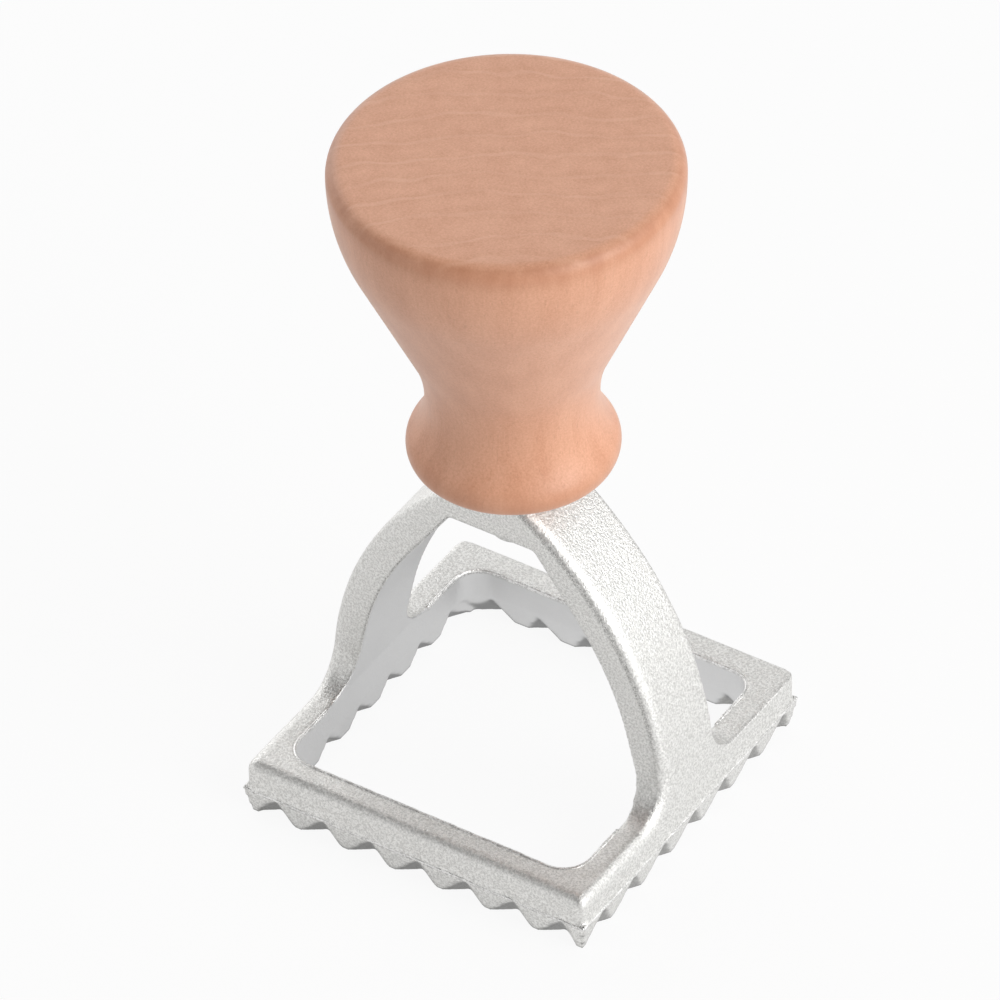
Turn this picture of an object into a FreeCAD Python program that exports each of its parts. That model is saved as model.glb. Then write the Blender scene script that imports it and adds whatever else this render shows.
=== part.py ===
import FreeCAD, Part
import math
import os

import Sketcher
from FreeCAD import Vector

# Ravioli stamp: a square cast aluminium cutter with a zigzag edge, an arch of the same
# casting over it, and a turned beech knob held on the arch by a wood screw from below.
# Millimetres, Z up. The origin is the centre of the square, on the plane that the cutting
# edge rests on. X runs from one leg of the arch to the other.

SIZES = [
    # square frame
    ("frame_side", 58.0, "outer side of the square at the parting line"),
    ("frame_height", 9.6, "cutting edge to the flat top of the walls"),
    ("parting_height", 4.7, "cutting edge to the parting line, where the toothed skirt starts"),
    ("parting_step", 0.3, "how far the skirt stands proud of the wall above it"),
    ("wall_thickness", 4.5, "wall of the square at the parting line"),
    ("wall_corner_radius", 1.5, "corners of the wall above the parting line, outside"),
    ("inner_corner_radius", 4.2, "corners of the square inside"),
    ("outer_lean", 0.9, "how far the skirt leans in outside, parting line to edge"),
    ("inner_lean", 0.7, "how far the skirt leans out inside, parting line to edge"),
    ("rim_radius", 1.8, "round along the top of the walls and the outer edges of the legs"),
    # zigzag cutting edge
    ("notches_per_side", 7, "outer notches along one side, a count"),
    ("tip_land", 1.2, "width of a tooth tip, between two outer notches"),
    ("corner_land", 0.5, "width left between the last outer notch and the corner"),
    ("corner_tip_width", 1.3, "width of the broad tooth in each corner, at the edge"),
    ("corner_root_width", 3.4, "width of that tooth at the parting line"),
    ("outer_notch_depth", 2.1, "depth of an outer notch at the edge"),
    ("inner_tip_land", 1.2, "width of the flat between two inner notches"),
    ("edge_band", 0.3, "metal left between an inner notch and the tip of a tooth"),
    ("inner_notch_height", 4.1, "height of the inner notches"),
    ("rest_width", 0.4, "width of the flats at the tooth tips that the stamp rests on"),
    ("edge_rise", 0.8, "how far the edge rises from there to the inner face of the wall"),
    # arch
    ("arch_radius", 56.0, "outer curve of each leg, which leaves the wall at its top"),
    ("arch_thickness", 5.5, "thickness of the legs"),
    ("arch_width", 13.0, "width of the arch"),
    ("crown_round_radius", 5.0, "outer round where the two legs meet"),
    ("crown_flat", 14.0, "width of the flat under the crown"),
    ("shoulder_drop", 9.9, "height of the straight shoulders at the ends of that flat"),
    ("foot_flare_radius", 6.0, "hollow round where a leg widens into the wall top"),
    ("seat_radius", 6.0, "round seat that the handle stands on"),
    ("seat_rise", 2.2, "seat above the top of the crown round"),
    ("crown_thickness", 11.3, "seat down to the flat under the crown"),
    ("boss_radius", 3.7, "boss under the crown"),
    ("boss_length", 3.7, "how far the boss hangs below the crown"),
    ("boss_bevel", 0.7, "bevel at the lower edge of the boss"),
    # turned handle
    ("handle_height", 51.8, "foot to flat top"),
    ("knob_radius", 24.85, "widest part of the knob"),
    ("knob_edge_radius", 2.3, "round at the rim of the top"),
    ("flank_radius", 32.0, "outward curve below the rim"),
    ("neck_radius", 12.3, "narrowest part"),
    ("neck_height", 10.4, "foot to the narrowest part"),
    ("neck_curve_radius", 20.5, "hollow curve above the narrowest part"),
    ("foot_radius", 15.15, "widest part of the foot bead"),
    ("bead_height", 1.9, "foot to the widest part of the bead"),
    ("bead_radius", 3.2, "outward curve of the bead"),
    ("foot_bevel", 0.5, "small bevel under the bead"),
    # screw
    ("screw_length", 30.0, "head to point"),
    ("screw_radius", 1.5, "outside of the thread"),
    ("screw_point_length", 3.5, "tapered point"),
    ("head_radius", 2.7, "countersunk head"),
    ("head_land", 0.3, "straight rim of the head"),
    ("head_recess", 0.3, "head below the face of the boss"),
    ("screw_clearance", 0.1, "all round the shank in the casting"),
    ("head_clearance", 0.12, "all round the rim of the head"),
    ("pilot_clearance", 0.02, "all round the thread in the wood"),
    ("pilot_extra", 1.5, "pilot hole beyond the point of the screw"),
    ("cross_width", 0.8, "arm of the cross recess"),
    ("cross_span", 3.0, "length across the cross recess"),
    ("cross_depth", 1.1, "depth of the cross recess"),
]

# Lengths that follow from the driving sizes
WALL_FACE = "(sizes.frame_side / 2 - sizes.parting_step)"
INNER_FACE = "(sizes.frame_side / 2 - sizes.wall_thickness)"
EDGE_FACE = "(sizes.frame_side / 2 - sizes.outer_lean)"
INNER_EDGE_FACE = "(%s + sizes.inner_lean)" % INNER_FACE
PITCH = "((2 * (%s - sizes.corner_land) + sizes.tip_land) / sizes.notches_per_side)" % EDGE_FACE
OUTER_OPENING = "((%s - sizes.tip_land) / 2)" % PITCH
INNER_OPENING = "((%s - sizes.inner_tip_land) / 2)" % PITCH
OUTER_ROOT = "(%s - sizes.outer_notch_depth)" % EDGE_FACE
INNER_ROOT = "(%s - sizes.edge_band)" % EDGE_FACE
CROWN_REACH = "(sizes.arch_radius - sizes.crown_round_radius)"
CROWN_DROP = "sqrt(%s ^ 2 - (sizes.arch_radius - %s) ^ 2)" % (CROWN_REACH, WALL_FACE)
CROWN_TOP = "(sizes.frame_height + sizes.crown_round_radius + %s)" % CROWN_DROP
SEAT_HEIGHT = "(%s + sizes.seat_rise)" % CROWN_TOP
CROWN_UNDERSIDE = "(%s - sizes.crown_thickness)" % SEAT_HEIGHT
BOSS_FACE = "(%s - sizes.boss_length)" % CROWN_UNDERSIDE
HEAD_HEIGHT = "(sizes.head_land + sizes.head_radius - sizes.screw_radius)"
SCREW_REACH = "(sizes.screw_length + sizes.head_recess - sizes.crown_thickness - sizes.boss_length)"

# Starting and ending points of a sketch edge, and the centre of an arc
START = 1
END = 2
CENTRE = 3
# Geometry numbers of a sketch's own axes; the origin is the start of the horizontal one
H_AXIS = -1
V_AXIS = -2
# How far cutting outlines reach beyond the metal that they cut
OVERCUT = 1.0
# Two places closer than this are the same when edges are picked
NEAR = 0.01
# Sides of the square
SIDES = 4

doc = FreeCAD.newDocument("ravioli_stamp")


def make_sheet():
    sheet = doc.addObject("Spreadsheet::Sheet", "sizes")
    for row, (name, value, note) in enumerate(SIZES, start=1):
        sheet.set("A%d" % row, name)
        sheet.set("B%d" % row, str(value))
        sheet.set("C%d" % row, note)
        sheet.setAlias("B%d" % row, name)
    doc.recompute()
    return sheet


sheet = make_sheet()


def number(formula):
    # the value of a formula of the sheet, for starting positions in sketches and for picking edges
    return float(sheet.evalExpression(formula.replace("sizes.", "")))


def origin_feature(body, role):
    for feature in body.Origin.OriginFeatures:
        if feature.Role == role:
            return feature


def make_body(name):
    body = doc.addObject("PartDesign::Body", name)
    body.Label = name
    return body


def make_sketch(body, name, plane, height=None):
    sketch = body.newObject("Sketcher::SketchObject", name)
    sketch.AttachmentSupport = [(origin_feature(body, plane), "")]
    sketch.MapMode = "FlatFace"
    if height:
        sketch.setExpression("AttachmentOffset.Base.z", height)
    doc.recompute()
    return sketch


def line(sketch, start, end):
    return sketch.addGeometry(Part.LineSegment(Vector(*start), Vector(*end)), False)


def arc(sketch, centre, radius, start_angle, end_angle):
    circle = Part.Circle(Vector(*centre), Vector(0, 0, 1), radius)
    return sketch.addGeometry(Part.ArcOfCircle(circle, start_angle, end_angle), False)


def dimension(sketch, kind, places, formula):
    # one driving constraint whose value is bound to the sheet
    index = sketch.addConstraint(Sketcher.Constraint(kind, *places, number(formula)))
    sketch.setExpression("Constraints[%d]" % index, formula)


def place_point(sketch, edge, end, across, up):
    # fixes one point of an edge by its two distances from the sketch's origin
    for kind, axis, formula in (("DistanceX", V_AXIS, across), ("DistanceY", H_AXIS, up)):
        if formula == "0":
            sketch.addConstraint(Sketcher.Constraint("PointOnObject", edge, end, axis))
        elif formula:
            dimension(sketch, kind, (H_AXIS, START, edge, end), formula)


def join(sketch, edges, kind="Coincident"):
    # joins each edge to the next at their nearest ends
    for first, second in zip(edges, edges[1:]):
        pairs = [(a, b) for a in (START, END) for b in (START, END)]
        gaps = [sketch.getPoint(first, a).distanceToPoint(sketch.getPoint(second, b)) for a, b in pairs]
        a, b = pairs[gaps.index(min(gaps))]
        sketch.addConstraint(Sketcher.Constraint(kind, first, a, second, b))


def level(sketch, *edges):
    for edge in edges:
        sketch.addConstraint(Sketcher.Constraint("Horizontal", edge))


def upright(sketch, *edges):
    for edge in edges:
        sketch.addConstraint(Sketcher.Constraint("Vertical", edge))


def polar(centre, radius, angle):
    return (centre[0] + radius * math.cos(angle), centre[1] + radius * math.sin(angle))


def bearing(start, end):
    return math.atan2(end[1] - start[1], end[0] - start[0])


def rounded_square(sketch, half, radius):
    # four sides and four corner arcs about the sketch's origin
    side = number(half)
    corner = number(radius)
    reach = side - corner
    sides = []
    corners = []
    for turn in range(SIDES):
        angle = turn * math.pi / 2
        out = Vector(math.cos(angle), math.sin(angle), 0)
        along = Vector(-out.y, out.x, 0)
        start = out * side - along * reach
        end = out * side + along * reach
        sides.append(line(sketch, start, end))
        centre = out * reach + along * reach
        corners.append(arc(sketch, centre, corner, angle, angle + math.pi / 2))
    for turn in range(SIDES):
        join(sketch, [sides[turn], corners[turn], sides[(turn + 1) % SIDES]], "Tangent")
    upright(sketch, sides[0], sides[2])
    level(sketch, sides[1], sides[3])
    dimension(sketch, "Radius", (corners[0],), radius)
    for corner_arc in corners[1:]:
        sketch.addConstraint(Sketcher.Constraint("Equal", corners[0], corner_arc))
    dimension(sketch, "DistanceX", (H_AXIS, START, sides[0], START), half)
    dimension(sketch, "DistanceX", (sides[2], START, H_AXIS, START), half)
    dimension(sketch, "DistanceY", (H_AXIS, START, sides[1], START), half)
    dimension(sketch, "DistanceY", (sides[3], START, H_AXIS, START), half)


def square(sketch, low, high):
    # a square with sharp corners, from one value to the other along both axes
    near = number(low)
    far = number(high)
    corners = [(far, near), (far, far), (near, far), (near, near)]
    sides = [line(sketch, corners[k], corners[(k + 1) % SIDES]) for k in range(SIDES)]
    join(sketch, sides + sides[:1])
    upright(sketch, sides[0], sides[2])
    level(sketch, sides[1], sides[3])
    place_point(sketch, sides[0], END, high, high)
    place_point(sketch, sides[2], END, low, low)


def circle_sketch(body, name, height, radius):
    sketch = make_sketch(body, name, "XY_Plane", height)
    circle = sketch.addGeometry(Part.Circle(Vector(0, 0, 0), Vector(0, 0, 1), number(radius)), False)
    sketch.addConstraint(Sketcher.Constraint("Coincident", circle, CENTRE, H_AXIS, START))
    dimension(sketch, "Radius", (circle,), radius)
    return sketch


def pad(body, name, sketch, length, symmetric=False, downwards=False):
    feature = body.newObject("PartDesign::Pad", name)
    feature.Profile = sketch
    feature.setExpression("Length", length)
    feature.Reversed = downwards
    if symmetric:
        feature.SideType = "Symmetric"
    doc.recompute()
    return feature


def turn_profile(body, kind, name, sketch):
    # a full turn about the sketch's upright axis
    feature = body.newObject(kind, name)
    feature.Profile = sketch
    feature.ReferenceAxis = (sketch, ["V_Axis"])
    feature.Angle = 360
    doc.recompute()
    return feature


def loft(body, kind, name, lower, upper):
    feature = body.newObject(kind, name)
    feature.Profile = lower
    feature.Sections = [upper]
    feature.Ruled = True
    doc.recompute()
    return feature


def mirror(body, name, feature, plane):
    mirrored = body.newObject("PartDesign::Mirrored", name)
    mirrored.Originals = [feature]
    mirrored.MirrorPlane = (origin_feature(body, plane), [""])
    body.Tip = mirrored
    doc.recompute()
    return mirrored


def soften(body, kind, name, size, wanted):
    # rounds or bevels the edges of the body's tip that the test picks out
    base = body.Tip
    edges = ["Edge%d" % (k + 1) for k, edge in enumerate(base.Shape.Edges) if wanted(edge)]
    feature = body.newObject(kind, name)
    feature.Base = (base, edges)
    feature.setExpression("Radius" if kind == "PartDesign::Fillet" else "Size", size)
    doc.recompute()
    return feature


# The square frame: a leaning skirt below the parting line, a straight wall above it
def add_frame(body):
    edge_outline = make_sketch(body, "skirt_at_edge", "XY_Plane")
    square(edge_outline, "(-%s)" % EDGE_FACE, EDGE_FACE)
    parting_outline = make_sketch(body, "skirt_at_parting", "XY_Plane", "sizes.parting_height")
    square(parting_outline, "(-sizes.frame_side / 2)", "(sizes.frame_side / 2)")
    loft(body, "PartDesign::AdditiveLoft", "skirt", edge_outline, parting_outline)

    wall_outline = make_sketch(body, "wall_outline", "XY_Plane", "sizes.parting_height")
    rounded_square(wall_outline, WALL_FACE, "sizes.wall_corner_radius")
    pad(body, "wall", wall_outline, "sizes.frame_height - sizes.parting_height")

    inside_outline = make_sketch(body, "inside_outline", "XY_Plane", "sizes.parting_height")
    rounded_square(inside_outline, INNER_FACE, "sizes.inner_corner_radius")
    inside = body.newObject("PartDesign::Pocket", "inside_of_wall")
    inside.Profile = inside_outline
    inside.Reversed = True
    inside.Type = "ThroughAll"
    doc.recompute()

    inner_edge_outline = make_sketch(body, "inside_at_edge", "XY_Plane")
    rounded_square(inner_edge_outline, INNER_EDGE_FACE, "sizes.inner_corner_radius + sizes.inner_lean")
    loft(body, "PartDesign::SubtractiveLoft", "inside_of_skirt", inner_edge_outline, inside_outline)

    # the edge rises inwards from the tips, so that only the tips rest on the dough
    rest_outline = make_sketch(body, "bevel_at_tips", "XY_Plane")
    rest = "(%s - sizes.rest_width)" % EDGE_FACE
    square(rest_outline, "(-%s)" % rest, rest)
    risen_outline = make_sketch(body, "bevel_at_inner_face", "XY_Plane", "sizes.edge_rise")
    square(risen_outline, "(-%s)" % INNER_FACE, INNER_FACE)
    loft(body, "PartDesign::SubtractiveLoft", "edge_bevel", rest_outline, risen_outline)


# Half of the arch seen from the front, from the middle of the crown to one wall
def draw_half_arch(sketch):
    wall = number(WALL_FACE)
    inner_wall = number(INNER_FACE)
    top = number("sizes.frame_height")
    bottom = number("sizes.parting_height")
    radius = number("sizes.arch_radius")
    inner_radius = radius - number("sizes.arch_thickness")
    centre = (wall - radius, top)
    crown = number("sizes.crown_round_radius")
    crown_centre = (0, number(CROWN_TOP) - crown)
    lean = bearing(centre, crown_centre)
    underside = number(CROWN_UNDERSIDE)

    # a straight shoulder runs from the flat under the crown down to the inner curve
    shoulder_top = (number("sizes.crown_flat / 2"), underside)
    shoulder_height = underside - number("sizes.shoulder_drop")
    shoulder_lean = math.asin((shoulder_height - centre[1]) / inner_radius)
    shoulder_foot = polar(centre, inner_radius, shoulder_lean)
    # the straight root of the leg touches the inner curve
    root = (inner_wall, top)
    reach = math.dist(centre, root)
    touch_angle = bearing(centre, root) + math.acos(inner_radius / reach)
    touch = polar(centre, inner_radius, touch_angle)

    underline = line(sketch, (0, underside), shoulder_top)
    shoulder = line(sketch, shoulder_top, shoulder_foot)
    inner_arc = arc(sketch, centre, inner_radius, touch_angle, shoulder_lean)
    root_line = line(sketch, touch, root)
    inner_line = line(sketch, root, (inner_wall, bottom))
    base_line = line(sketch, (inner_wall, bottom), (wall, bottom))
    outer_line = line(sketch, (wall, bottom), (wall, centre[1]))
    outer_arc = arc(sketch, centre, radius, 0, lean)
    crown_arc = arc(sketch, crown_centre, crown, lean, math.pi / 2)
    axis_line = line(sketch, (0, crown_centre[1] + crown), (0, underside))

    join(sketch, [underline, shoulder, inner_arc])
    join(sketch, [inner_arc, root_line], "Tangent")
    join(sketch, [root_line, inner_line, base_line, outer_line])
    join(sketch, [outer_line, outer_arc, crown_arc], "Tangent")
    join(sketch, [crown_arc, axis_line, underline])
    level(sketch, underline, base_line)
    upright(sketch, inner_line, outer_line)
    sketch.addConstraint(Sketcher.Constraint("Coincident", inner_arc, CENTRE, outer_arc, CENTRE))
    place_point(sketch, crown_arc, CENTRE, "0", None)
    place_point(sketch, axis_line, START, "0", None)
    place_point(sketch, axis_line, END, "0", CROWN_UNDERSIDE)
    place_point(sketch, shoulder, START, "sizes.crown_flat / 2", None)
    place_point(sketch, shoulder, END, None, "%s - sizes.shoulder_drop" % CROWN_UNDERSIDE)
    place_point(sketch, root_line, END, INNER_FACE, "sizes.frame_height")
    place_point(sketch, outer_line, START, WALL_FACE, "sizes.parting_height")
    place_point(sketch, outer_line, END, None, "sizes.frame_height")
    dimension(sketch, "Radius", (outer_arc,), "sizes.arch_radius")
    dimension(sketch, "Radius", (inner_arc,), "sizes.arch_radius - sizes.arch_thickness")
    dimension(sketch, "Radius", (crown_arc,), "sizes.crown_round_radius")


# What is taken off beside a leg, seen along X: it leaves the hollow flare above the wall
def draw_leg_side(sketch):
    half = number("sizes.arch_width / 2")
    flare = number("sizes.foot_flare_radius")
    top = number("sizes.frame_height")
    high = number(CROWN_TOP) + OVERCUT
    out = half + flare + OVERCUT
    flare_arc = arc(sketch, (half + flare, top + flare), flare, math.pi, 1.5 * math.pi)
    bottom_line = line(sketch, (half + flare, top), (out, top))
    out_line = line(sketch, (out, top), (out, high))
    high_line = line(sketch, (out, high), (half, high))
    leg_line = line(sketch, (half, high), (half, top + flare))
    join(sketch, [leg_line, flare_arc, bottom_line], "Tangent")
    join(sketch, [bottom_line, out_line, high_line, leg_line])
    level(sketch, bottom_line, high_line)
    upright(sketch, out_line, leg_line)
    dimension(sketch, "Radius", (flare_arc,), "sizes.foot_flare_radius")
    beyond = "sizes.arch_width / 2 + sizes.foot_flare_radius + %g" % OVERCUT
    place_point(sketch, leg_line, START, "sizes.arch_width / 2", "%s + %g" % (CROWN_TOP, OVERCUT))
    place_point(sketch, out_line, START, beyond, "sizes.frame_height")


def add_arch(body):
    half_arch = make_sketch(body, "half_arch", "XZ_Plane")
    draw_half_arch(half_arch)
    leg = pad(body, "leg", half_arch, "sizes.arch_width + 2 * sizes.foot_flare_radius", symmetric=True)
    mirror(body, "arch", leg, "YZ_Plane")

    leg_side = make_sketch(body, "leg_side", "YZ_Plane")
    draw_leg_side(leg_side)
    side_cut = body.newObject("PartDesign::Pocket", "leg_side_cut")
    side_cut.Profile = leg_side
    side_cut.Type = "ThroughAll"
    side_cut.SideType = "Symmetric"
    doc.recompute()
    mirror(body, "both_leg_sides", side_cut, "XZ_Plane")


def lies_level(edge, height):
    box = edge.BoundBox
    return abs(box.ZMin - height) < NEAR and abs(box.ZMax - height) < NEAR


def round_rims(body):
    # one straight stretch of the wall top; the rest of the rim and the legs' edges follow it
    top = number("sizes.frame_height")
    wall = number(WALL_FACE)

    def front_of_rim(edge):
        box = edge.BoundBox
        return lies_level(edge, top) and abs(box.YMin + wall) < NEAR and abs(box.YMax + wall) < NEAR

    soften(body, "PartDesign::Fillet", "outer_rounds", "sizes.rim_radius", front_of_rim)


def add_seat_and_boss(body):
    seat_circle = circle_sketch(body, "seat_circle", SEAT_HEIGHT, "sizes.seat_radius")
    pad(body, "seat", seat_circle, "sizes.crown_thickness / 2", downwards=True)
    boss_circle = circle_sketch(body, "boss_circle", BOSS_FACE, "sizes.boss_radius")
    pad(body, "boss", boss_circle, "sizes.boss_length + sizes.crown_thickness / 2")
    face = number(BOSS_FACE)

    def at_face(edge):
        return lies_level(edge, face)

    soften(body, "PartDesign::Chamfer", "boss_edge", "sizes.boss_bevel", at_face)


# The stepped hole for the screw, turned about the Z axis
def add_screw_hole(body):
    rim_radius = "(sizes.head_radius + sizes.head_clearance)"
    shank_radius = "(sizes.screw_radius + sizes.screw_clearance)"
    cone_start = "(%s + sizes.head_recess + sizes.head_land)" % BOSS_FACE
    cone_end = "(%s + %s - %s)" % (cone_start, rim_radius, shank_radius)
    rim = number(rim_radius)
    shank = number(shank_radius)
    low = number(BOSS_FACE) - OVERCUT
    high = number(SEAT_HEIGHT) + OVERCUT

    sketch = make_sketch(body, "screw_hole_profile", "XZ_Plane")
    below = line(sketch, (0, low), (rim, low))
    rim_line = line(sketch, (rim, low), (rim, number(cone_start)))
    cone_line = line(sketch, (rim, number(cone_start)), (shank, number(cone_end)))
    shank_line = line(sketch, (shank, number(cone_end)), (shank, high))
    above = line(sketch, (shank, high), (0, high))
    axis_line = line(sketch, (0, high), (0, low))
    join(sketch, [below, rim_line, cone_line, shank_line, above, axis_line, below])
    level(sketch, below, above)
    upright(sketch, rim_line, shank_line)
    place_point(sketch, axis_line, START, "0", "%s + %g" % (SEAT_HEIGHT, OVERCUT))
    place_point(sketch, axis_line, END, "0", "%s - %g" % (BOSS_FACE, OVERCUT))
    place_point(sketch, rim_line, END, rim_radius, cone_start)
    place_point(sketch, cone_line, END, shank_radius, cone_end)
    turn_profile(body, "PartDesign::Groove", "screw_hole", sketch)


# One notch of the zigzag seen from below: two flanks from the root to the face of the
# skirt, then straight cheeks out of the metal as far as the mouth
def draw_notch(sketch, middle, opening, root, face, mouth):
    centre = number(middle)
    right = centre + number(opening)
    left = centre - number(opening)
    root_y = number(root)
    face_y = number(face)
    mouth_y = number(mouth)
    right_flank = line(sketch, (centre, root_y), (right, face_y))
    right_cheek = line(sketch, (right, face_y), (right, mouth_y))
    mouth_line = line(sketch, (right, mouth_y), (left, mouth_y))
    left_cheek = line(sketch, (left, mouth_y), (left, face_y))
    left_flank = line(sketch, (left, face_y), (centre, root_y))
    join(sketch, [right_flank, right_cheek, mouth_line, left_cheek, left_flank, right_flank])
    upright(sketch, right_cheek, left_cheek)
    level(sketch, mouth_line)
    place_point(sketch, right_flank, START, middle, root)
    place_point(sketch, right_flank, END, "%s + %s" % (middle, opening), face)
    place_point(sketch, left_flank, START, "%s - %s" % (middle, opening), face)
    place_point(sketch, mouth_line, START, None, mouth)


def cut_notches(body, name, sketch, rise, run, count):
    # one slanting cut from the edge upwards, repeated along the side and round the square
    cut = body.newObject("PartDesign::Pocket", name)
    cut.Profile = sketch
    cut.UseCustomVector = True
    cut.setExpression("Direction.y", run)
    cut.setExpression("Direction.z", rise)
    cut.AlongSketchNormal = True
    cut.setExpression("Length", rise)
    doc.recompute()
    row = body.newObject("PartDesign::LinearPattern", name + "_row")
    row.Direction = (sketch, ["H_Axis"])
    row.setExpression("Length", "(%s - 1) * %s" % (count, PITCH))
    row.setExpression("Occurrences", count)
    round_square = body.newObject("PartDesign::PolarPattern", name + "_round")
    round_square.Axis = (sketch, ["N_Axis"])
    round_square.Angle = 360
    round_square.Occurrences = SIDES
    all_round = body.newObject("PartDesign::MultiTransform", name + "_all_round")
    all_round.Originals = [cut]
    all_round.Transformations = [row, round_square]
    body.Tip = all_round
    doc.recompute()


def add_teeth(body):
    # outer notches run out at the parting line
    outer = make_sketch(body, "outer_notch_profile", "XY_Plane")
    count = "sizes.notches_per_side"
    first = "(-(%s - 1) / 2 * %s)" % (count, PITCH)
    face = "(-%s)" % EDGE_FACE
    mouth = "(%s - sizes.outer_notch_depth)" % face
    draw_notch(outer, first, OUTER_OPENING, "(-%s)" % OUTER_ROOT, face, mouth)
    run_out = "-(sizes.outer_lean + sizes.outer_notch_depth)"
    cut_notches(body, "outer_notch", outer, "sizes.parting_height", run_out, count)

    # inner notches stand between them; their cheeks reach past the rounded corner inside
    inner = make_sketch(body, "inner_notch_profile", "XY_Plane")
    count = "(sizes.notches_per_side - 1)"
    first = "(-(%s - 1) / 2 * %s)" % (count, PITCH)
    face = "(-%s)" % INNER_EDGE_FACE
    mouth = "(%s + sizes.inner_corner_radius + sizes.inner_lean)" % face
    draw_notch(inner, first, INNER_OPENING, "(-%s)" % INNER_ROOT, face, mouth)
    run_in = "%s - %s" % (INNER_ROOT, INNER_FACE)
    cut_notches(body, "inner_notch", inner, "sizes.inner_notch_height", run_in, count)

    # a broad tooth fills each corner between the last two outer notches
    tip = make_sketch(body, "corner_tooth_at_edge", "XY_Plane")
    square(tip, "(%s - sizes.corner_tip_width)" % EDGE_FACE, EDGE_FACE)
    root = make_sketch(body, "corner_tooth_at_parting", "XY_Plane", "sizes.parting_height")
    outside = "(sizes.frame_side / 2)"
    square(root, "(%s - sizes.corner_root_width)" % outside, outside)
    tooth = loft(body, "PartDesign::AdditiveLoft", "corner_tooth", tip, root)
    corners = body.newObject("PartDesign::PolarPattern", "corner_teeth")
    corners.Originals = [tooth]
    corners.Axis = (tip, ["N_Axis"])
    corners.Angle = 360
    corners.Occurrences = SIDES
    body.Tip = corners
    doc.recompute()


def make_cutter():
    body = make_body("cutter")
    add_frame(body)
    add_arch(body)
    round_rims(body)
    add_seat_and_boss(body)
    add_screw_hole(body)
    add_teeth(body)
    return body


# The knob's profile beside its axis, measured from the foot
def draw_handle(sketch):
    height = number("sizes.handle_height")
    knob = number("sizes.knob_radius")
    rim = number("sizes.knob_edge_radius")
    flank = number("sizes.flank_radius")
    hollow = number("sizes.neck_curve_radius")
    bead = number("sizes.bead_radius")
    bevel = number("sizes.foot_bevel")
    neck = (number("sizes.neck_radius"), number("sizes.neck_height"))
    bead_centre = (number("sizes.foot_radius") - bead, number("sizes.bead_height"))

    # a small bevel joins the foot to the bead
    bead_low = (bead_centre[0] + math.sqrt(bead ** 2 - (bead_centre[1] - bevel) ** 2), bevel)
    low_angle = bearing(bead_centre, bead_low)
    # the hollow below the neck touches the bead from outside
    gap_x = neck[0] - bead_centre[0]
    gap_y = neck[1] - bead_centre[1]
    cove = (gap_x ** 2 + gap_y ** 2 - bead ** 2) / (2 * (bead - gap_x))
    cove_centre = (neck[0] + cove, neck[1])
    bead_angle = bearing(bead_centre, cove_centre)
    # the flank runs straight between the hollow above the neck and the curve below the rim
    hollow_centre = (neck[0] + hollow, neck[1])
    flank_centre = (knob - flank, height - rim)
    span = math.dist(hollow_centre, flank_centre)
    slope = bearing(hollow_centre, flank_centre) + math.acos((hollow + flank) / span)

    base_line = line(sketch, (0, 0), (bead_low[0] - bevel, 0))
    bevel_line = line(sketch, (bead_low[0] - bevel, 0), bead_low)
    bead_arc = arc(sketch, bead_centre, bead, low_angle, bead_angle)
    cove_arc = arc(sketch, cove_centre, cove, math.pi, bead_angle + math.pi)
    hollow_arc = arc(sketch, hollow_centre, hollow, slope, math.pi)
    flank_line = line(sketch, polar(hollow_centre, hollow, slope), polar(flank_centre, -flank, slope))
    flank_arc = arc(sketch, flank_centre, flank, slope - math.pi, 0)
    rim_arc = arc(sketch, (knob - rim, height - rim), rim, 0, math.pi / 2)
    top_line = line(sketch, (knob - rim, height), (0, height))
    axis_line = line(sketch, (0, height), (0, 0))

    lower_curve = [bead_arc, cove_arc, hollow_arc]
    upper_curve = [hollow_arc, flank_line, flank_arc, rim_arc, top_line]
    join(sketch, lower_curve, "Tangent")
    join(sketch, upper_curve, "Tangent")
    join(sketch, [top_line, axis_line, base_line, bevel_line, bead_arc])
    level(sketch, top_line, base_line)
    place_point(sketch, axis_line, START, "0", "sizes.handle_height")
    sketch.addConstraint(Sketcher.Constraint("Coincident", axis_line, END, H_AXIS, START))
    place_point(sketch, bead_arc, CENTRE, "sizes.foot_radius - sizes.bead_radius", "sizes.bead_height")
    dimension(sketch, "Radius", (bead_arc,), "sizes.bead_radius")
    place_point(sketch, bevel_line, END, None, "sizes.foot_bevel")
    dimension(sketch, "DistanceX", (bevel_line, START, bevel_line, END), "sizes.foot_bevel")
    hollow_reach = "sizes.neck_radius + sizes.neck_curve_radius"
    place_point(sketch, hollow_arc, CENTRE, hollow_reach, "sizes.neck_height")
    place_point(sketch, cove_arc, CENTRE, None, "sizes.neck_height")
    dimension(sketch, "Radius", (hollow_arc,), "sizes.neck_curve_radius")
    rim_height = "sizes.handle_height - sizes.knob_edge_radius"
    place_point(sketch, flank_arc, CENTRE, "sizes.knob_radius - sizes.flank_radius", rim_height)
    dimension(sketch, "Radius", (flank_arc,), "sizes.flank_radius")
    dimension(sketch, "Radius", (rim_arc,), "sizes.knob_edge_radius")


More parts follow.
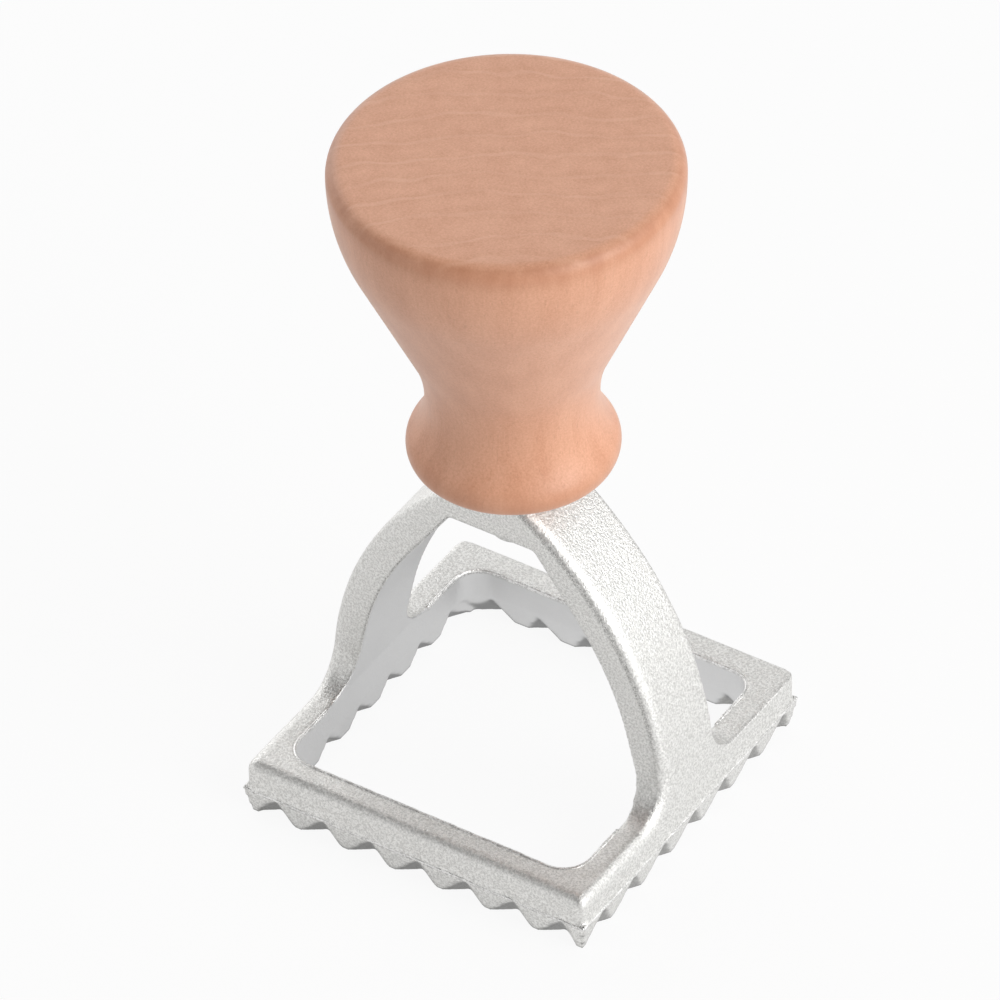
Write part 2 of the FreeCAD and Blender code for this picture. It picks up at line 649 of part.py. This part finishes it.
def make_handle():
    body = make_body("handle")
    profile = make_sketch(body, "knob_profile", "XZ_Plane")
    draw_handle(profile)
    turn_profile(body, "PartDesign::Revolution", "turned_knob", profile)

    # pilot hole with a conical end, a little deeper than the screw reaches
    radius = "(sizes.screw_radius + sizes.pilot_clearance)"
    depth = "(%s + sizes.pilot_extra)" % SCREW_REACH
    bore = number(radius)
    deep = number(depth)
    pilot = make_sketch(body, "pilot_profile", "XZ_Plane")
    mouth = line(pilot, (0, -OVERCUT), (bore, -OVERCUT))
    wall = line(pilot, (bore, -OVERCUT), (bore, deep - bore))
    cone = line(pilot, (bore, deep - bore), (0, deep))
    axis = line(pilot, (0, deep), (0, -OVERCUT))
    join(pilot, [mouth, wall, cone, axis, mouth])
    level(pilot, mouth)
    upright(pilot, wall)
    place_point(pilot, axis, START, "0", depth)
    place_point(pilot, axis, END, "0", "-%g" % OVERCUT)
    place_point(pilot, wall, END, radius, "%s - %s" % (depth, radius))
    turn_profile(body, "PartDesign::Groove", "pilot_hole", pilot)
    body.setExpression("Placement.Base.z", SEAT_HEIGHT)
    doc.recompute()
    return body


# Countersunk wood screw, measured from the face of its head
def make_screw():
    body = make_body("screw")
    profile = make_sketch(body, "screw_profile", "XZ_Plane")
    head = number("sizes.head_radius")
    land = number("sizes.head_land")
    shank = number("sizes.screw_radius")
    length = number("sizes.screw_length")
    neck = number(HEAD_HEIGHT)
    point = length - number("sizes.screw_point_length")
    face_line = line(profile, (0, 0), (head, 0))
    land_line = line(profile, (head, 0), (head, land))
    cone_line = line(profile, (head, land), (shank, neck))
    shank_line = line(profile, (shank, neck), (shank, point))
    point_line = line(profile, (shank, point), (0, length))
    axis_line = line(profile, (0, length), (0, 0))
    join(profile, [face_line, land_line, cone_line, shank_line, point_line, axis_line, face_line])
    level(profile, face_line)
    upright(profile, land_line, shank_line)
    place_point(profile, axis_line, START, "0", "sizes.screw_length")
    profile.addConstraint(Sketcher.Constraint("Coincident", axis_line, END, H_AXIS, START))
    place_point(profile, land_line, END, "sizes.head_radius", "sizes.head_land")
    place_point(profile, cone_line, END, "sizes.screw_radius", HEAD_HEIGHT)
    place_point(profile, shank_line, END, None, "sizes.screw_length - sizes.screw_point_length")
    turn_profile(body, "PartDesign::Revolution", "turned_screw", profile)

    # cross recess: one arm, then the other at right angles to it
    arm_sketch = make_sketch(body, "cross_arm", "XY_Plane")
    half_span = number("sizes.cross_span / 2")
    half_width = number("sizes.cross_width / 2")
    right = line(arm_sketch, (half_span, -half_width), (half_span, half_width))
    back = line(arm_sketch, (half_span, half_width), (-half_span, half_width))
    left = line(arm_sketch, (-half_span, half_width), (-half_span, -half_width))
    front = line(arm_sketch, (-half_span, -half_width), (half_span, -half_width))
    join(arm_sketch, [right, back, left, front, right])
    upright(arm_sketch, right, left)
    level(arm_sketch, back, front)
    place_point(arm_sketch, right, END, "sizes.cross_span / 2", "sizes.cross_width / 2")
    place_point(arm_sketch, left, END, "-sizes.cross_span / 2", "-sizes.cross_width / 2")
    arm = body.newObject("PartDesign::Pocket", "recess_arm")
    arm.Profile = arm_sketch
    arm.Reversed = True
    arm.setExpression("Length", "sizes.cross_depth")
    doc.recompute()
    cross = body.newObject("PartDesign::PolarPattern", "cross_recess")
    cross.Originals = [arm]
    cross.Axis = (arm_sketch, ["N_Axis"])
    cross.Mode = "Spacing"
    cross.Offset = 90
    cross.Occurrences = 2
    body.Tip = cross
    body.setExpression("Placement.Base.z", "%s + sizes.head_recess" % BOSS_FACE)
    doc.recompute()
    return body


def check_and_write(bodies):
    for item in doc.Objects:
        troubles = [state for state in item.State if state in ("Invalid", "Error")]
        if troubles:
            raise RuntimeError("%s is %s" % (item.Name, troubles))
    for body in bodies:
        if body.Shape.isNull() or not body.Shape.isValid():
            raise RuntimeError("%s has no valid shape" % body.Label)
        if len(body.Shape.Solids) != 1:
            raise RuntimeError("%s is in %d pieces" % (body.Label, len(body.Shape.Solids)))
    os.makedirs("parts", exist_ok=True)
    for body in bodies:
        body.Shape.exportStep("parts/%s.step" % body.Label)
        print("%s: one solid, %.1f cubic millimetres" % (body.Label, body.Shape.Volume))


check_and_write([make_cutter(), make_handle(), make_screw()])
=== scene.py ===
import math

import bpy
from mathutils import Matrix, Vector, noise


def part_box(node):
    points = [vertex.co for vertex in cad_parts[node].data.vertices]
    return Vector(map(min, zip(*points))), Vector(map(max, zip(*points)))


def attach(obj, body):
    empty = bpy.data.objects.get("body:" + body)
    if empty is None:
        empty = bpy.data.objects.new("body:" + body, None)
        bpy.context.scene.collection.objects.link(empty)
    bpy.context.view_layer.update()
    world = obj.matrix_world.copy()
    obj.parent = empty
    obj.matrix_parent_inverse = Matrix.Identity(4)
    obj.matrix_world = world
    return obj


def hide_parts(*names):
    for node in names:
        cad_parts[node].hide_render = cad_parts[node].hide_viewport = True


# Ravioli stamp: cast aluminium cutter with its arch, turned beech knob, wood screw.
# Lengths are in millimetres, apart from the studio's, which are in metres.

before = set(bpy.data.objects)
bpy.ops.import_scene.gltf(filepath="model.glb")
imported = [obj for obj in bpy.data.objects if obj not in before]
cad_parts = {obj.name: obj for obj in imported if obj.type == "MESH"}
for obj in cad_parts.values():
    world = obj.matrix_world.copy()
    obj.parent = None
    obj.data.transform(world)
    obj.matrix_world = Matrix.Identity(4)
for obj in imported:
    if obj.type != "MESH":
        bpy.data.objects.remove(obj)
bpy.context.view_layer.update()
scene = bpy.context.scene
mm = 0.001
partingHeight = 4.7  # where the toothed skirt starts, above the tips of the teeth
wallTop = 9.6
footLevel, knobTop = (corner.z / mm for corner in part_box("handle"))
print("frame loaded")


class Wire:
    # a shader socket that takes part in sums: an expression on it adds its Math nodes

    def __init__(self, tree, socket=None):
        self.tree = tree
        self.socket = socket

    def node(self, kind, settings=None, sockets=None, output=0):
        made = self.tree.nodes.new(kind)
        for name, value in (settings or {}).items():
            setattr(made, name, value)
        for name, value in (sockets or {}).items():
            if isinstance(value, Wire):
                self.tree.links.new(value.socket, made.inputs[name])
            else:
                made.inputs[name].default_value = value
        return Wire(self.tree, made.outputs[output] if made.outputs else None)

    def maths(self, operation, first, second):
        return self.node("ShaderNodeMath", {"operation": operation}, {0: first, 1: second})

    def __add__(self, other):
        return self.maths("ADD", self, other)

    def __radd__(self, other):
        return self.maths("ADD", other, self)

    def __sub__(self, other):
        return self.maths("SUBTRACT", self, other)

    def __rsub__(self, other):
        return self.maths("SUBTRACT", other, self)

    def __mul__(self, other):
        return self.maths("MULTIPLY", self, other)

    def __rmul__(self, other):
        return self.maths("MULTIPLY", other, self)

    def __pow__(self, other):
        return self.maths("POWER", self, other)


def newTree(material):
    material.use_nodes = True
    material.node_tree.nodes.clear()
    return Wire(material.node_tree)


def millimetres(tree):
    # object coordinates in millimetres: every piece's object sits at the origin
    place = tree.node("ShaderNodeTexCoord", output="Object")
    return tree.node("ShaderNodeVectorMath", {"operation": "SCALE"}, {"Vector": place, "Scale": 1 / mm})


def stretched(vector, factors):
    return vector.node("ShaderNodeVectorMath", {"operation": "MULTIPLY"}, {0: vector, 1: factors})


def splitUp(vector):
    return [vector.node("ShaderNodeSeparateXYZ", None, {"Vector": vector}, axis) for axis in "XYZ"]


def cloudy(vector, scale, detail=2.0, roughness=0.5):
    values = {"Vector": vector, "Scale": scale, "Detail": detail, "Roughness": roughness}
    return vector.node("ShaderNodeTexNoise", None, values, "Fac")


def ease(value, low, high):
    # 0 below low, 1 above high, smooth between them
    values = {"Value": value, "From Min": low, "From Max": high}
    return value.node("ShaderNodeMapRange", {"interpolation_type": "SMOOTHSTEP"}, values)


def dotProduct(first, second):
    return first.node("ShaderNodeVectorMath", {"operation": "DOT_PRODUCT"}, {0: first, 1: second}, "Value")


def blendColours(factor, first, second):
    def full(colour):
        return colour if isinstance(colour, Wire) else (*colour, 1.0)

    values = {"Factor": factor, 6: full(first), 7: full(second)}  # 6 and 7 are the colour sockets
    return factor.node("ShaderNodeMix", {"data_type": "RGBA"}, values, 2)


def bumpy(height, strength, depth):
    values = {"Height": height, "Strength": strength, "Distance": depth * mm}
    return height.node("ShaderNodeBump", None, values)


def finishMaterial(tree, sockets):
    surface = tree.node("ShaderNodeBsdfPrincipled", None, sockets)
    tree.node("ShaderNodeOutputMaterial", None, {"Surface": surface})


castLook = {
    "bright": (0.93, 0.925, 0.905),
    "dull": (0.64, 0.635, 0.615),
    "insideTint": (0.68, 0.68, 0.68),
    "shadow": (0.05, 0.05, 0.05),
    "creaseShadow": (0.12, 0.12, 0.12),
    "darkReflectionColour": (0.16, 0.155, 0.15),
    "grain": 2.8,  # grains to a millimetre
    "fineGrain": 6.5,
    "broadGrain": 0.16,
    "roughness": 0.43,
    "grainDepth": 0.13,
    "recessShade": 0.55,  # how much darker the undercut flanks of the teeth are
    "underShade": 0.14,  # and every other face that looks down
    "seamShade": 0.5,  # painted shade in the crease of the seam above the teeth
    "seamPatches": 0.9,  # patches of it to a millimetre
    "darkReflection": 0.75,  # painted dark reflection, in speckles, along the outer edges of one leg
    "darkReflectionFrom": 13.0,
    "darkReflectionFade": 12.0,
}


def castMaterial():
    look = castLook
    material = bpy.data.materials.new("sandCastAluminium")
    tree = newTree(material)
    place = millimetres(tree)
    z = splitUp(place)[2]
    normal = tree.node("ShaderNodeNewGeometry", output="Normal")
    facingX, facingY, facingZ = splitUp(normal)
    down = 0 - facingZ
    flatPlace = stretched(place, (1, 1, 0))
    outward = tree.node("ShaderNodeVectorMath", {"operation": "NORMALIZE"}, {0: flatPlace})
    inside = ease(dotProduct(outward, normal), -0.35, -0.65)  # turned to the middle: smoother there
    grain = cloudy(place, look["grain"], 3.0, 0.6)
    fine = cloudy(place, look["fineGrain"], 2.0, 0.6)
    broad = cloudy(place, look["broadGrain"], 3.0, 0.55)
    speck = ease(0.6 * grain + 0.4 * fine, 0.40, 0.60)
    outer = blendColours(speck, look["dull"], look["bright"])
    cast = blendColours(inside, outer, look["insideTint"])
    skirt = ease(z, partingHeight + 0.3, partingHeight - 0.3)
    recess = look["recessShade"] * skirt * ease(down, 0.12, 0.5)
    recess = recess + look["underShade"] * ease(down, 0.1, 0.5)
    shaded = blendColours(recess, cast, look["shadow"])
    # painted shade: a dark line in patches in the crease of the seam, just below the parting
    seam = ease(z, partingHeight - 0.55, partingHeight - 0.35)
    seam = seam * ease(z, partingHeight + 0.05, partingHeight - 0.2)
    patches = ease(cloudy(place, look["seamPatches"], 3.0, 0.65), 0.40, 0.60)
    creaseShaded = blendColours(look["seamShade"] * seam * (1 - inside) * patches, shaded, look["creaseShadow"])
    # painted dark reflection: speckles on the rounded edges, higher up the legs
    sideways = facingY * facingY  # the rounded outer edges of the legs, on the side of +X
    edge = ease(sideways, 0.50, 0.75) * ease(sideways, 0.985, 0.93) * ease(facingX, 0.08, 0.2)
    edge = edge * ease(z, look["darkReflectionFrom"], look["darkReflectionFrom"] + look["darkReflectionFade"])
    colour = blendColours(look["darkReflection"] * edge * ease(fine, 0.46, 0.60), creaseShaded, look["darkReflectionColour"])
    roughness = look["roughness"] + 0.16 * (grain - 0.5) + 0.10 * (broad - 0.5) + 0.06 * inside
    height = (grain + 0.5 * fine) * (1 - 0.65 * inside)
    finishMaterial(tree, {
        "Base Color": colour,
        "Metallic": 1.0,
        "Roughness": roughness,
        "Normal": bumpy(height, 0.8, look["grainDepth"]),
    })
    return material


beechLook = {
    "pale": (0.820, 0.440, 0.285),
    "rosy": (0.670, 0.315, 0.185),
    "line": (0.880, 0.530, 0.370),
    "fleck": (0.520, 0.240, 0.140),
    "rimAndFootShade": (0.560, 0.235, 0.125),  # painted shade on the rounded rim and at the foot
    "pith": (66.0, -98.0),  # middle of the growth rings, far off to one side
    "ringWidth": 4.4,
    "ringDrift": 7.0,  # how far the rings stray, over the knob's width
    "ringWander": 3.5,  # and over a few millimetres
    "mottle": 1.9,
    "roughness": 0.46,
    "sheen": 0.35,  # sanded fibres catch the light along the outline
}


def beechMaterial():
    look = beechLook
    material = bpy.data.materials.new("turnedBeech")
    tree = newTree(material)
    place = millimetres(tree)
    x, y, z = splitUp(place)
    trunk = stretched(place, (1, 1, 0.15))  # the grain runs up the knob
    drift = look["ringDrift"] * cloudy(trunk, 0.05, 2.0)
    wander = look["ringWander"] * cloudy(trunk, 0.15, 1.0)
    acrossX = x - look["pith"][0]
    acrossY = y - look["pith"][1]
    reach = (acrossX * acrossX + acrossY * acrossY) ** 0.5 + drift + wander
    turns = reach * (2 * math.pi / look["ringWidth"])
    band = 0.5 + 0.5 * turns.node("ShaderNodeMath", {"operation": "SINE"}, {0: turns})
    shade = cloudy(stretched(place, (1, 1, 0.12)), 0.35, 3.0)
    fibres = cloudy(stretched(place, (1, 1, 0.07)), 3.2, 2.0)
    flecks = ease(cloudy(stretched(place, (1, 1, 0.2)), 3.0, 1.0), 0.62, 0.74)
    mottle = cloudy(place, 3.4, 3.0, 0.65)
    tone = 0.20 * band + 0.90 * shade + 0.50 * fibres + look["mottle"] * (mottle - 0.5) - 0.29
    ground = blendColours(tone, look["pale"], look["rosy"])
    patchy = ease(cloudy(place, 0.12, 2.0), 0.35, 0.65)
    endGrain = ease(z, knobTop - 1.4, knobTop - 0.4)
    shown = (0.08 + 0.24 * endGrain) * (0.4 + 0.6 * patchy)
    lined = blendColours(shown * ease(band, 0.90, 1.0), ground, look["line"])
    flecked = blendColours(0.22 * flecks, lined, look["fleck"])
    # painted shade, in clouds, on the rounded rim and at the foot
    rim = ease(z, knobTop - 4.5, knobTop - 1.5) * ease(z, knobTop - 0.05, knobTop - 0.6)
    foot = ease(z, footLevel + 5.0, footLevel + 1.0)
    colour = blendColours((rim + foot) * shade, flecked, look["rimAndFootShade"])
    height = 0.6 * fibres - 0.7 * flecks
    finishMaterial(tree, {
        "Base Color": colour,
        "Roughness": look["roughness"] + 0.12 * (fibres - 0.5),
        "Normal": bumpy(height, 0.35, 0.04),
        "Coat Weight": 0.05,
        "Coat Roughness": 0.35,
        "Sheen Weight": look["sheen"],
        "Sheen Roughness": 0.4,
    })
    return material


flashLook = {"bright": (0.96, 0.955, 0.94), "dull": (0.66, 0.655, 0.64), "grain": 3.5, "roughness": 0.38}


def flashMaterial():
    # thin ragged metal left at the seams of the mould
    look = flashLook
    material = bpy.data.materials.new("raggedSeam")
    tree = newTree(material)
    place = millimetres(tree)
    grain = cloudy(place, look["grain"], 2.0, 0.6)
    speck = ease(0.7 * grain + 0.3 * cloudy(place, 0.5, 2.0), 0.42, 0.56)
    finishMaterial(tree, {
        "Base Color": blendColours(speck, look["dull"], look["bright"]),
        "Metallic": 1.0,
        "Roughness": look["roughness"] + 0.2 * (grain - 0.5),
        "Normal": bumpy(grain, 1.0, 0.12),
    })
    return material


steelLook = {"colour": (0.62, 0.62, 0.63), "stain": (0.42, 0.41, 0.40), "roughness": 0.34}


def steelMaterial():
    look = steelLook
    material = bpy.data.materials.new("platedSteel")
    tree = newTree(material)
    place = millimetres(tree)
    mottled = cloudy(place, 0.9, 4.0, 0.6)
    turned = cloudy(stretched(place, (6, 6, 0.4)), 1.4, 2.0)
    finishMaterial(tree, {
        "Base Color": blendColours(ease(mottled, 0.45, 0.75), look["colour"], look["stain"]),
        "Metallic": 1.0,
        "Roughness": look["roughness"] + 0.18 * (mottled - 0.5),
        "Normal": bumpy(turned, 0.3, 0.02),
    })
    return material


def dress(mesh, material):
    mesh.materials.clear()
    mesh.materials.append(material)


def smooth(mesh):
    for face in mesh.polygons:
        face.use_smooth = True


def addPiece(name, mesh, material):
    piece = bpy.data.objects.new(name, mesh)
    scene.collection.objects.link(piece)
    dress(mesh, material)
    smooth(mesh)
    return piece


casting = {
    "cell": 0.35,  # size of the grid that the casting is drawn over
    "softening": 3,  # rounds of smoothing
    "waviness": 0.09,  # how far the faces sink in places
    "waveLength": 9.0,
}


def makeCasting(material):
    # the same casting drawn over a fine grid, so that its edges are soft and its faces never flat
    size = casting
    piece = addPiece("castBody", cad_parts["cutter"].data.copy(), material)
    grid = piece.modifiers.new("grid", "REMESH")
    grid.mode = "VOXEL"
    grid.voxel_size = size["cell"] * mm
    soften = piece.modifiers.new("soften", "SMOOTH")
    soften.factor = 0.5
    soften.iterations = size["softening"]
    bpy.context.view_layer.update()
    shown = piece.evaluated_get(bpy.context.evaluated_depsgraph_get())
    mesh = bpy.data.meshes.new_from_object(shown)
    piece.modifiers.clear()
    piece.data = mesh
    dress(mesh, material)
    low = min(vertex.co.z for vertex in mesh.vertices)
    top = partingHeight * mm
    normals = [vertex.normal.copy() for vertex in mesh.vertices]
    for vertex, normal in zip(mesh.vertices, normals):
        wave = noise.noise(vertex.co * (1 / (size["waveLength"] * mm)))
        vertex.co -= normal * (0.5 + 0.5 * wave) * size["waviness"] * mm
        if vertex.co.z < top:  # the teeth still reach the table
            vertex.co.z -= low * (1 - vertex.co.z / top)
    smooth(mesh)
    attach(piece, "root")
    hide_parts("cutter")
    print("casting:", len(mesh.polygons), "faces")


knob = {  # the turned outline, as the part itself has it
    "height": 51.8,
    "radius": 24.85,
    "rimRound": 2.3,
    "flankRound": 32.0,
    "neckRadius": 12.3,
    "neckHeight": 10.4,
    "hollowRound": 20.5,  # above the neck
    "footRadius": 15.15,
    "beadHeight": 1.9,
    "beadRound": 3.2,
    "footEdgeRound": 0.7,
    "turns": 192,
}


def bearing(start, end):
    return math.atan2(end[1] - start[1], end[0] - start[0])


def curve(centre, radius, start, end, count):
    points = []
    for step in range(count + 1):
        angle = start + (end - start) * step / count
        points.append((centre[0] + radius * math.cos(angle), centre[1] + radius * math.sin(angle)))
    return points


def knobProfile():
    # radius and height from the middle of the foot, round the outside, to the middle of the top
    size = knob
    rim, flank, hollow = size["rimRound"], size["flankRound"], size["hollowRound"]
    bead, edge = size["beadRound"], size["footEdgeRound"]
    neck = (size["neckRadius"], size["neckHeight"])
    beadCentre = (size["footRadius"] - bead, size["beadHeight"])
    edgeX = beadCentre[0] + math.sqrt((bead - edge) ** 2 - (beadCentre[1] - edge) ** 2)
    edgeAngle = bearing(beadCentre, (edgeX, edge))
    gapX, gapY = neck[0] - beadCentre[0], neck[1] - beadCentre[1]
    cove = (gapX ** 2 + gapY ** 2 - bead ** 2) / (2 * (bead - gapX))
    coveCentre = (neck[0] + cove, neck[1])
    beadAngle = bearing(beadCentre, coveCentre)
    hollowCentre = (neck[0] + hollow, neck[1])
    flankCentre = (size["radius"] - flank, size["height"] - rim)
    slope = bearing(hollowCentre, flankCentre)
    slope += math.acos((hollow + flank) / math.dist(hollowCentre, flankCentre))
    half = math.pi / 2
    points = [(edgeX * step / 6, 0) for step in range(6)]
    points += curve((edgeX, edge), edge, -half, edgeAngle, 6)
    points += curve(beadCentre, bead, edgeAngle, beadAngle, 20)[1:]
    points += curve(coveCentre, cove, beadAngle + math.pi, math.pi, 20)[1:]
    points += curve(hollowCentre, hollow, math.pi, slope, 26)[1:]
    points += curve(flankCentre, flank, slope - math.pi, 0, 26)
    points += curve((size["radius"] - rim, size["height"] - rim), rim, 0, half, 12)[1:]
    inner = size["radius"] - rim
    points += [(inner * (1 - step / 10), size["height"]) for step in range(1, 11)]
    return points


def makeKnob(material):
    turns = knob["turns"]
    rings = []
    points = []
    for radius, height in knobProfile():
        place = (footLevel + height) * mm
        if radius < 1e-6:  # the middle is one point
            rings.append([len(points)] * turns)
            points.append((0, 0, place))
            continue
        rings.append(list(range(len(points), len(points) + turns)))
        for turn in range(turns):
            angle = 2 * math.pi * turn / turns
            points.append((radius * mm * math.cos(angle), radius * mm * math.sin(angle), place))
    faces = []
    for lower, upper in zip(rings, rings[1:]):
        for turn in range(turns):
            after = (turn + 1) % turns
            corners = [lower[turn], lower[after], upper[after], upper[turn]]
            faces.append(list(dict.fromkeys(corners)))
    mesh = bpy.data.meshes.new("beechKnob")
    mesh.from_pydata(points, [], faces)
    piece = addPiece("beechKnob", mesh, material)
    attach(piece, "root")
    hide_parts("handle")
    print("knob:", len(faces), "faces")


flash = {
    "side": 29.0,  # from the middle to the outer faces
    "corner": 0.35,
    "innerSide": 24.5,  # and to the inner ones
    "innerCorner": 4.2,
    "legHalf": 12.8,  # no fin where a leg stands on the wall
    "ragged": 0.22,  # how far the fin above the teeth wanders in and out
    "thickness": 0.26,
    "rimRagged": 0.12,  # how far the inner rim wanders up and down
    "step": 0.4,
}


def roundedSquare(half, corner, step):
    # points and outward directions round a square with rounded corners
    reach = half - corner
    rows = []
    for quarter in range(4):
        angle = quarter * math.pi / 2
        out = Vector((math.cos(angle), math.sin(angle)))
        along = Vector((-out.y, out.x))
        count = round(2 * reach / step)
        for index in range(count):
            rows.append((out * half + along * (2 * reach * index / count - reach), out))
        bends = max(4, round(corner * math.pi / 2 / step))
        for index in range(bends):
            turned = angle + math.pi / 2 * index / bends
            direction = Vector((math.cos(turned), math.sin(turned)))
            rows.append((out * reach + along * reach + direction * corner, direction))
    return rows


def sweep(name, rows, section, material):
    # a closed strip: section gives the corners at each row as (outward, up) pairs
    points = []
    sections = [section(place) for place, out in rows]
    for (place, out), corners in zip(rows, sections):
        for outward, up in corners:
            spot = place + out * outward
            points.append((spot.x * mm, spot.y * mm, up * mm))
    width = len(sections[0])
    last = (len(rows) - 1) * width
    faces = []
    for row in range(len(rows) - 1):
        for index in range(width):
            after = (index + 1) % width
            here, there = row * width, (row + 1) * width
            faces.append([here + index, here + after, there + after, there + index])
    faces.append(list(range(width))[::-1])
    faces.append([last + index for index in range(width)])
    mesh = bpy.data.meshes.new(name)
    mesh.from_pydata(points, [], faces)
    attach(addPiece(name, mesh, material), "root")


def rough(place, scale, seed):
    return noise.noise(Vector((place.x * scale, place.y * scale, seed)))


def makeFlash(material):
    size = flash

    def partingSection(place):
        tip = -0.02 - size["ragged"] * abs(rough(place, 1.1, 3.0)) - 0.05 * abs(rough(place, 0.23, 5.0))
        level = partingHeight + 0.10 * rough(place, 0.3, 7.0)
        low = level - size["thickness"] - 0.14 * rough(place, 0.9, 9.0)
        return [(-0.6, low - 0.2), (tip, low), (tip, level), (-0.45, level + 0.22)]

    def rimSection(place):
        tall = wallTop + 0.06 + size["rimRagged"] * rough(place, 0.8, 11.0)
        lean = 0.06 * rough(place, 0.35, 13.0)
        return [(0.6, wallTop - 0.30), (0.2 + lean, tall), (-0.04 + lean, tall), (-0.04, wallTop - 0.6)]

    rows = roundedSquare(size["side"], size["corner"], size["step"])
    sweep("partingFlash", rows + rows[:1], partingSection, material)
    rows = roundedSquare(size["innerSide"], size["innerCorner"], size["step"])
    for name, way in (("rimFlashFront", -1), ("rimFlashBack", 1)):
        kept = [row for row in rows if way * row[0].y > size["legHalf"]]
        kept.sort(key=lambda row: math.atan2(way * row[0].y, way * row[0].x))
        sweep(name, kept, rimSection, material)
    print("flash lines done")


view = {  # fitted to the photograph: angles in degrees, the target at the middle of the picture
    "azimuth": 33.813,
    "elevation": 40.414,
    "roll": -1.626,
    "distance": 1397.93,
    "target": (-5.496, 4.354, 44.769),
    "lens": 355.385,
}


def placeCamera():
    azimuth, elevation, roll = (math.radians(view[name]) for name in ("azimuth", "elevation", "roll"))
    flat = math.cos(elevation)
    back = Vector((math.sin(azimuth) * flat, -math.cos(azimuth) * flat, math.sin(elevation)))
    right = Vector((math.cos(azimuth), math.sin(azimuth), 0))
    up = back.cross(right)
    acrossPicture = math.cos(roll) * right + math.sin(roll) * up
    upPicture = math.cos(roll) * up - math.sin(roll) * right
    data = bpy.data.cameras.new("photoCamera")
    data.sensor_width = 36
    data.lens = view["lens"]
    data.clip_start = 0.05
    data.clip_end = 20
    camera = bpy.data.objects.new("photoCamera", data)
    turn = Matrix((acrossPicture, upPicture, back)).transposed().to_4x4()
    place = (Vector(view["target"]) + back * view["distance"]) * mm
    camera.matrix_world = Matrix.Translation(place) @ turn
    scene.collection.objects.link(camera)
    scene.camera = camera
    print("camera placed")


studio = {
    "lamps": {
        "keyRight": {"place": (1.00, -0.05, 0.55), "size": 0.8, "power": 8.1},
        "rightHigh": {"place": (0.85, 0.25, 1.00), "size": 0.9, "power": 3.0},
        "fillLeft": {"place": (-0.75, -0.90, 0.60), "size": 1.0, "power": 1.5},
        "backHigh": {"place": (-0.20, 0.90, 1.00), "size": 1.0, "power": 2.0},
        "backLeft": {"place": (-0.90, 0.55, 0.80), "size": 1.0, "power": 2.6},
        "rimLeft": {"place": (-1.00, 0.30, 0.30), "size": 0.8, "power": 2.0},
    },
    "sky": 0.72,
    "zenith": 0.10,
    "darkSide": (0.424, -0.633, 0.648),  # the room is darker on the camera's side
    "darkness": 0.7,
    "floorSide": 6.0,
    "floorColour": (0.82, 0.82, 0.82),
    "floorShine": 0.92,  # how much of the floor's white is its own, as the camera sees it
    "floorGloss": (0.59, 1.0),  # and as the metal mirrors it, from the front left to the back right
    "glossSpread": 0.04,
}


def makeLamps():
    for name, lamp in studio["lamps"].items():
        data = bpy.data.lights.new(name, "AREA")
        data.size = lamp["size"]
        data.energy = lamp["power"]
        light = bpy.data.objects.new(name, data)
        light.location = lamp["place"]
        aim = Vector((0, 0, 0.05)) - light.location
        light.rotation_euler = aim.to_track_quat("-Z", "Y").to_euler()
        scene.collection.objects.link(light)
    print("lamps:", len(studio["lamps"]))


def makeSky():
    world = bpy.data.worlds.new("studioSky")
    scene.world = world
    world.use_nodes = True
    world.node_tree.nodes.clear()
    sky = Wire(world.node_tree)
    direction = sky.node("ShaderNodeTexCoord", output="Generated")
    height = splitUp(direction)[2]
    glow = studio["sky"] + (studio["zenith"] - studio["sky"]) * ease(height, 0.1, 0.9)
    near = dotProduct(direction, studio["darkSide"])
    glow = glow * (1 - studio["darkness"] * ease(near, 0.6, 0.97))
    seen = sky.node("ShaderNodeLightPath", output="Is Camera Ray")
    strength = glow * (1 - seen) + seen  # plain white behind the stamp
    shine = sky.node("ShaderNodeBackground", None, {"Color": (1, 1, 1, 1), "Strength": strength})
    sky.node("ShaderNodeOutputWorld", None, {"Surface": shine})
    print("sky done")


def makeFloor():
    half = studio["floorSide"] / 2
    corners = [(-half, -half, 0), (half, -half, 0), (half, half, 0), (-half, half, 0)]
    mesh = bpy.data.meshes.new("floor")
    mesh.from_pydata(corners, [], [(0, 1, 2, 3)])
    floor = bpy.data.objects.new("floor", mesh)
    scene.collection.objects.link(floor)
    material = bpy.data.materials.new("paleFloor")
    mesh.materials.append(material)
    tree = newTree(material)
    rays = ("Is Camera Ray", "Is Glossy Ray", "Is Transmission Ray")
    seen, mirrored, refracted = (tree.node("ShaderNodeLightPath", output=ray) for ray in rays)
    left, right = studio["floorGloss"]
    x, y = splitUp(tree.node("ShaderNodeTexCoord", output="Object"))[:2]
    gloss = left + (right - left) * ease(x + y, -studio["glossSpread"], studio["glossSpread"])
    direct = studio["floorShine"] * (seen + refracted) + gloss * mirrored
    matt = tree.node("ShaderNodeBsdfDiffuse", None, {"Color": (*studio["floorColour"], 1)})
    white = tree.node("ShaderNodeEmission", None, {"Color": (1, 1, 1, 1), "Strength": 1.0})
    surface = tree.node("ShaderNodeMixShader", None, {0: direct, 1: matt, 2: white})
    tree.node("ShaderNodeOutputMaterial", None, {"Surface": surface})
    print("floor done")


placeCamera()
makeLamps()
makeSky()
makeFloor()
scene.view_settings.view_transform = "Standard"
makeCasting(castMaterial())
makeFlash(flashMaterial())
makeKnob(beechMaterial())
dress(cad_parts["screw"].data, steelMaterial())
print("screw finished")
